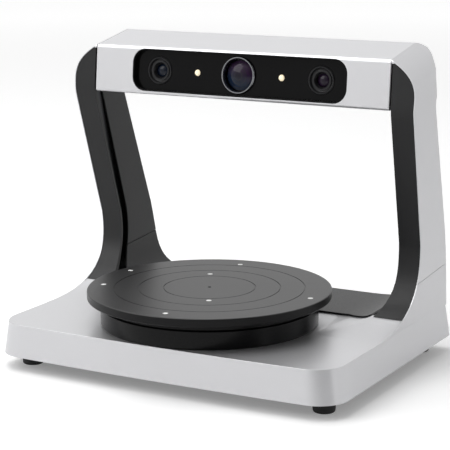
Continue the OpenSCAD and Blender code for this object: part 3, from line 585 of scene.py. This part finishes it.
def repeat_tree(shape):
    """A node tree that sets a shape on every point of its mesh: a ball, or a master object"""
    tree = bpy.data.node_groups.new("repeat_" + shape, "GeometryNodeTree")
    for name, kind in (("Geometry", "Geometry"), ("Master", "Object"), ("Ball radius", "Float"),
                       ("Size", "Float"), ("Material", "Material")):
        tree.interface.new_socket(name, in_out="INPUT", socket_type="NodeSocket" + kind)
    tree.interface.new_socket("Geometry", in_out="OUTPUT", socket_type="NodeSocketGeometry")
    given = tree.nodes.new("NodeGroupInput").outputs
    if shape == "ball":
        made = add_node(tree, "GeometryNodeMeshIcoSphere", {
            "Radius": given["Ball radius"],
            "Subdivisions": BALL_SUBDIVISIONS}).outputs["Mesh"]
        made = add_node(tree, "GeometryNodeSetShadeSmooth", {0: made}).outputs[0]
    else:
        made = add_node(tree, "GeometryNodeObjectInfo", {
            "Object": given["Master"]}).outputs["Geometry"]
    placed = add_node(tree, "GeometryNodeInstanceOnPoints", {
        "Points": given["Geometry"], "Instance": made, "Scale": given["Size"]})
    whole = add_node(tree, "GeometryNodeRealizeInstances", {
        "Geometry": placed.outputs["Instances"]})
    painted = add_node(tree, "GeometryNodeSetMaterial", {
        "Geometry": whole.outputs["Geometry"], "Material": given["Material"]})
    tree.links.new(painted.outputs["Geometry"], tree.nodes.new("NodeGroupOutput").inputs[0])
    return tree


def repeat(node, radius=0.0, shape="master"):
    """One solid of a CAD node, its edges rounded, set again at the place of each of its solids"""
    places = islands(node)
    first = places[0]
    spot = middle(first)
    single = merged(node)
    reach = [half + 0.01 * MM for half in (first[1] - first[0]) / 2]
    stray = [v for v in single.verts
             if any(abs(v.co[i] - spot[i]) > reach[i] for i in range(3))]
    bmesh.ops.delete(single, geom=stray, context="VERTS")
    bmesh.ops.translate(single, verts=single.verts, vec=-spot)
    if radius:
        round_edges(single, radius, segments=2)
    master = piece_from(single, node + "_master")
    slot = record_slots()[node]
    mesh = bpy.data.meshes.new(node + "_finished")
    mesh.from_pydata([middle(corners) for corners in places], [], [])
    piece = new_object(node + "_finished", mesh)
    repeater = piece.modifiers.new("repeat", "NODES")
    repeater.node_group = bpy.data.node_groups.get("repeat_" + shape) or repeat_tree(shape)
    sizes = {"Master": master, "Ball radius": (first[1].z - first[0].z) / 2, "Size": 1.0,
             "Material": finish_for(slot)}
    for socket in repeater.node_group.interface.items_tree:
        if socket.in_out == "INPUT" and socket.name in sizes:
            repeater[socket.identifier] = sizes[socket.name]
    settle(piece)
    bpy.data.objects.remove(master)
    return attach(piece, slot, body_of(node), node)


def middle(corners):
    """The middle of a box given by two corners"""
    return (corners[0] + corners[1]) / 2


def edge_middle(edge):
    return (edge.verts[0].co + edge.verts[1].co) / 2


# ------------------------------------------------------------------ operators


class ScannerOperator:
    """Shared settings of the operators"""

    bl_options = {"REGISTER", "UNDO"}


class SCANNER_OT_casing(ScannerOperator, bpy.types.Operator):
    """Build the painted base with its bottom plate and feet"""

    bl_idname = "scanner.casing"
    bl_label = "Base casing"

    def execute(self, context):
        edges = context.scene.scanner_edges
        dress("base_shell", (edges.casing, self.is_rim), (edges.trim, self.is_outer))
        repeat("rubber_feet", edges.small)
        repeat("foot_screws", edges.drum)
        repeat("plate_screws", edges.drum)
        coat("base_plate")
        return {"FINISHED"}

    @staticmethod
    def is_rim(edge):
        """The base's top edge, round the front and the sides"""
        spot = edge_middle(edge)
        normals = [f.normal for f in edge.link_faces]
        level = any(n.z > 0.99 for n in normals)
        steep = any(abs(n.z) < 0.3 for n in normals)
        at_front = spot.y < SHELL_LOW.y + 30 * MM
        at_side = abs(spot.x) > SHELL_HIGH.x - 12 * MM
        at_top = abs(spot.z - BASE_TOP) < 0.3 * MM
        return level and steep and at_top and (at_front or at_side)

    @staticmethod
    def is_outer(edge):
        """The standing edges at the base's two ends"""
        spot = edge_middle(edge)
        at_end = abs(spot.x) > SHELL_HIGH.x - 3 * MM
        below_top = spot.z < BASE_TOP - 1 * MM
        rise = abs(edge.verts[0].co.z - edge.verts[1].co.z)
        return at_end and below_top and rise > 5 * MM


class SCANNER_OT_arch(ScannerOperator, bpy.types.Operator):
    """Build the uprights: painted shells, dark trims and liners, and the spines in them"""

    bl_idname = "scanner.arch"
    bl_label = "Arch"

    def execute(self, context):
        edges = context.scene.scanner_edges
        for side in ("left", "right"):
            dress("side_shell_" + side, (edges.shell, None))
            dress("trim_" + side, (edges.trim, None))
            dress("liner_" + side, (edges.trim, None))
            coat("spine_" + side)
        dress("liner_lower", (edges.trim, None))
        coat("head_cable")
        return {"FINISHED"}


class SCANNER_OT_head(ScannerOperator, bpy.types.Operator):
    """Build the head's shell, its rear cover and its screws"""

    bl_idname = "scanner.head"
    bl_label = "Head"

    def execute(self, context):
        edges = context.scene.scanner_edges
        dress("head_shell", (edges.head_end, self.is_end), (edges.head, None))
        dress("head_rear_cover", (edges.head, None))
        repeat("rear_cover_screws", edges.small)
        coat("optics_rail")
        return {"FINISHED"}

    @staticmethod
    def is_end(edge):
        """The outer edges of the head's two ends"""
        spot = edge_middle(edge)
        outward = spot - HEAD_CENTRE
        outer = any(abs(f.normal.x) < 0.5 and f.normal.dot(outward) > 0 for f in edge.link_faces)
        return outer and abs(spot.x) > HEAD_HIGH.x - 0.1 * MM


class SCANNER_OT_optics(ScannerOperator, bpy.types.Operator):
    """Build the window with its cameras, projector and lamps"""

    bl_idname = "scanner.optics"
    bl_label = "Optics"

    def execute(self, context):
        edges = context.scene.scanner_edges
        dress("window_bezel", (edges.small, None))
        dress("window_panel", (edges.small, None))
        for side in ("left", "right"):
            dress("camera_ring_" + side)
            dress("camera_lens_" + side)
            dress("lamp_" + side)
        dress("projector_ring")
        dress("projector_lens")
        coat("camera_bodies", "projector_engine", "lamp_bodies")
        return {"FINISHED"}


class SCANNER_OT_turntable(ScannerOperator, bpy.types.Operator):
    """Build the disc with its markers and the drum under it"""

    bl_idname = "scanner.turntable"
    bl_label = "Turntable"

    def execute(self, context):
        edges = context.scene.scanner_edges
        dress("turntable_disc", (edges.disc, self.is_disc_rim))
        dress("drum_body", (edges.drum, None))
        repeat("marker_dots", 0.05 * MM)
        return {"FINISHED"}

    @staticmethod
    def is_disc_rim(edge):
        """The edges round the disc, away from its bore and rings"""
        spot = edge_middle(edge) - DISC_CENTRE
        return spot.xy.length > (DISC_HIGH.x - DISC_CENTRE.x) - 2 * MM


class SCANNER_OT_drive(ScannerOperator, bpy.types.Operator):
    """Finish the motor, gears, spindle and bearings"""

    bl_idname = "scanner.drive"
    bl_label = "Drive"

    def execute(self, context):
        edges = context.scene.scanner_edges
        dress("drive_gear", (edges.small, None))
        dress("stepper_motor", (edges.drum, None))
        repeat("bearing_balls", shape="ball")
        for node in ("hub_screws", "motor_screws", "drum_screws"):
            repeat(node, edges.small)
        coat("bearing_housing", "bearing_outer_races", "bearing_inner_races", "spindle_hub",
             "spindle_nut", "motor_shaft", "motor_pinion")
        return {"FINISHED"}


class SCANNER_OT_electronics(ScannerOperator, bpy.types.Operator):
    """Finish the boards, the rear panel and its sockets"""

    bl_idname = "scanner.electronics"
    bl_label = "Electronics"

    def execute(self, context):
        edges = context.scene.scanner_edges
        for node in ("rear_panel", "power_inlet", "data_socket", "power_button"):
            dress(node, (edges.small, None))
        repeat("board_screws", edges.small)
        repeat("board_standoffs", edges.small)
        coat("main_board", "heat_sink", "button_switch", "connector_board")
        return {"FINISHED"}


class SCANNER_OT_stage(ScannerOperator, bpy.types.Operator):
    """Set up the floor, the lights and the camera"""

    bl_idname = "scanner.stage"
    bl_label = "Stage"

    # Place and turn of the camera, in metres and degrees
    EYE = Vector((0.648918, -1.155184, 0.397553))
    YAW, PITCH, ROLL = 29.204, 12.045, -0.301
    # Where the room's dark wall stands, seen from the object, and where it starts and is full
    DARK_SIDE = (0.8, -0.6, 0.0)
    WALL_START, WALL_FULL = 0.45, 0.85
    # The floor paper's glow near the object and far off, and the two distances
    GLOW_NEAR, GLOW_FAR = 0.22, 0.6
    GLOW_START, GLOW_END = 0.5, 3.4
    # Where each softbox stands, and its width and height; all of them face AIM
    SOFTBOXES = {
        "key": ((-1.3, -1.5, 1.5), (1.8, 1.4)),
        "side": ((2.0, -0.1, 0.5), (0.35, 1.0)),
        "top": ((-0.5, -0.1, 1.9), (1.8, 1.4)),
    }
    AIM = Vector((0.0, 0.0, 0.1))

    def execute(self, context):
        stage = context.scene.scanner_stage
        self.add_camera(context, stage)
        self.add_floor(stage)
        self.add_world(context, stage)
        for name, (place, size) in self.SOFTBOXES.items():
            self.add_softbox(name + "_softbox", Vector(place), size, getattr(stage, name))
        context.scene.view_settings.view_transform = "Standard"
        return {"FINISHED"}

    def add_camera(self, context, stage):
        yaw, pitch, roll = (math.radians(a) for a in (self.YAW, self.PITCH, self.ROLL))
        forward = Vector((-math.sin(yaw) * math.cos(pitch), math.cos(yaw) * math.cos(pitch),
                          -math.sin(pitch)))
        level = Vector((math.cos(yaw), math.sin(yaw), 0.0))
        upward = level.cross(forward)
        right = math.cos(roll) * level + math.sin(roll) * upward
        upward = math.cos(roll) * upward - math.sin(roll) * level
        camera = bpy.data.cameras.new("camera")
        camera.sensor_width = 36.0
        camera.lens = stage.focal
        camera.clip_end = 50.0
        holder = new_object("camera", camera)
        turned = Matrix((right, upward, -forward)).transposed()
        holder.matrix_world = Matrix.Translation(self.EYE) @ turned.to_4x4()
        context.scene.camera = holder

    def add_floor(self, stage):
        bm = bmesh.new()
        bmesh.ops.create_grid(bm, x_segments=8, y_segments=8, size=stage.floor / 2)
        mesh = bpy.data.meshes.new("floor")
        bm.to_mesh(mesh)
        bm.free()
        floor = new_object("floor", mesh)
        paper = Finish("floor_paper", (0.9, 0.9, 0.9), 0.9)
        paper.mottle(400 * MM, 0.004)
        tree = paper.tree
        # Farther off the paper glows more, which makes up for the lights' fall-off
        strength = spread(tree, paper.radius(), self.GLOW_NEAR, self.GLOW_FAR,
                          self.GLOW_START, self.GLOW_END)
        glow = add_node(tree, "ShaderNodeEmission", {
            "Color": (1, 1, 1, 1), "Strength": calc(tree, "MULTIPLY", self.seen(tree), strength)})
        lit = add_node(tree, "ShaderNodeAddShader", {
            0: paper.shader.outputs[0], 1: glow.outputs[0]})
        tree.links.new(lit.outputs[0], tree.nodes["Material Output"].inputs["Surface"])
        mesh.materials.append(paper.material)

    @staticmethod
    def seen(tree):
        """1 where the background shows, directly or in metal and glass"""
        rays = add_node(tree, "ShaderNodeLightPath").outputs
        mirrored = calc(tree, "MAXIMUM", rays["Is Glossy Ray"], rays["Is Transmission Ray"])
        return calc(tree, "MAXIMUM", rays["Is Camera Ray"], mirrored)

    def add_world(self, context, stage):
        world = bpy.data.worlds.new("pale_room")
        world.use_nodes = True
        tree = world.node_tree
        toward = add_node(tree, "ShaderNodeTexCoord").outputs["Generated"]
        # The front of the room is dark, so black gloss keeps its depth between the lit sides
        facing = add_node(tree, "ShaderNodeVectorMath", {
            0: toward, 1: self.DARK_SIDE}, operation="DOT_PRODUCT").outputs["Value"]
        dim = spread(tree, facing, 1.0, stage.front_wall, self.WALL_START, self.WALL_FULL)
        pale = spread(tree, self.seen(tree), stage.surround, 1.0)
        strength = calc(tree, "MULTIPLY", pale, dim)
        rays = add_node(tree, "ShaderNodeLightPath").outputs
        back = tree.nodes["Background"]
        back.inputs["Color"].default_value = (1.0, 1.0, 1.0, 1.0)
        strength = calc(tree, "MAXIMUM", strength, rays["Is Camera Ray"])
        tree.links.new(strength, back.inputs["Strength"])
        context.scene.world = world

    def add_softbox(self, name, place, size, power):
        lamp = bpy.data.lights.new(name, "AREA")
        lamp.shape = "RECTANGLE"
        lamp.size, lamp.size_y = size
        lamp.energy = power
        holder = new_object(name, lamp)
        aim = (self.AIM - place).to_track_quat("-Z", "Y")
        holder.matrix_world = Matrix.Translation(place) @ aim.to_matrix().to_4x4()


OPERATORS = (
    SCANNER_OT_casing, SCANNER_OT_arch, SCANNER_OT_head, SCANNER_OT_optics,
    SCANNER_OT_turntable, SCANNER_OT_drive, SCANNER_OT_electronics, SCANNER_OT_stage)
SETTINGS = {
    "scanner_colours": ScannerColours,
    "scanner_edges": ScannerEdges,
    "scanner_stage": ScannerStage,
}


class SCANNER_PT_panel(bpy.types.Panel):
    """Lists the scanner's pieces in the sidebar"""

    bl_idname = "SCANNER_PT_panel"
    bl_label = "Turntable Scanner"
    bl_space_type = "VIEW_3D"
    bl_region_type = "UI"
    bl_category = "Scanner"

    def draw(self, context):
        for operator in OPERATORS:
            self.layout.operator(operator.bl_idname)
        for name, group in SETTINGS.items():
            box = self.layout.box()
            for field in group.__annotations__:
                box.prop(getattr(context.scene, name), field)


def register():
    for group in (*SETTINGS.values(), *OPERATORS, SCANNER_PT_panel):
        bpy.utils.register_class(group)
    for name, group in SETTINGS.items():
        setattr(bpy.types.Scene, name, PointerProperty(type=group))


def unregister():
    for name in SETTINGS:
        delattr(bpy.types.Scene, name)
    for group in (SCANNER_PT_panel, *reversed(OPERATORS), *SETTINGS.values()):
        bpy.utils.unregister_class(group)


def main():
    register()
    bpy.ops.scanner.casing()
    bpy.ops.scanner.arch()
    bpy.ops.scanner.head()
    bpy.ops.scanner.optics()
    bpy.ops.scanner.turntable()
    bpy.ops.scanner.drive()
    bpy.ops.scanner.electronics()
    bpy.ops.scanner.stage()


if __name__ == "__main__":
    main()
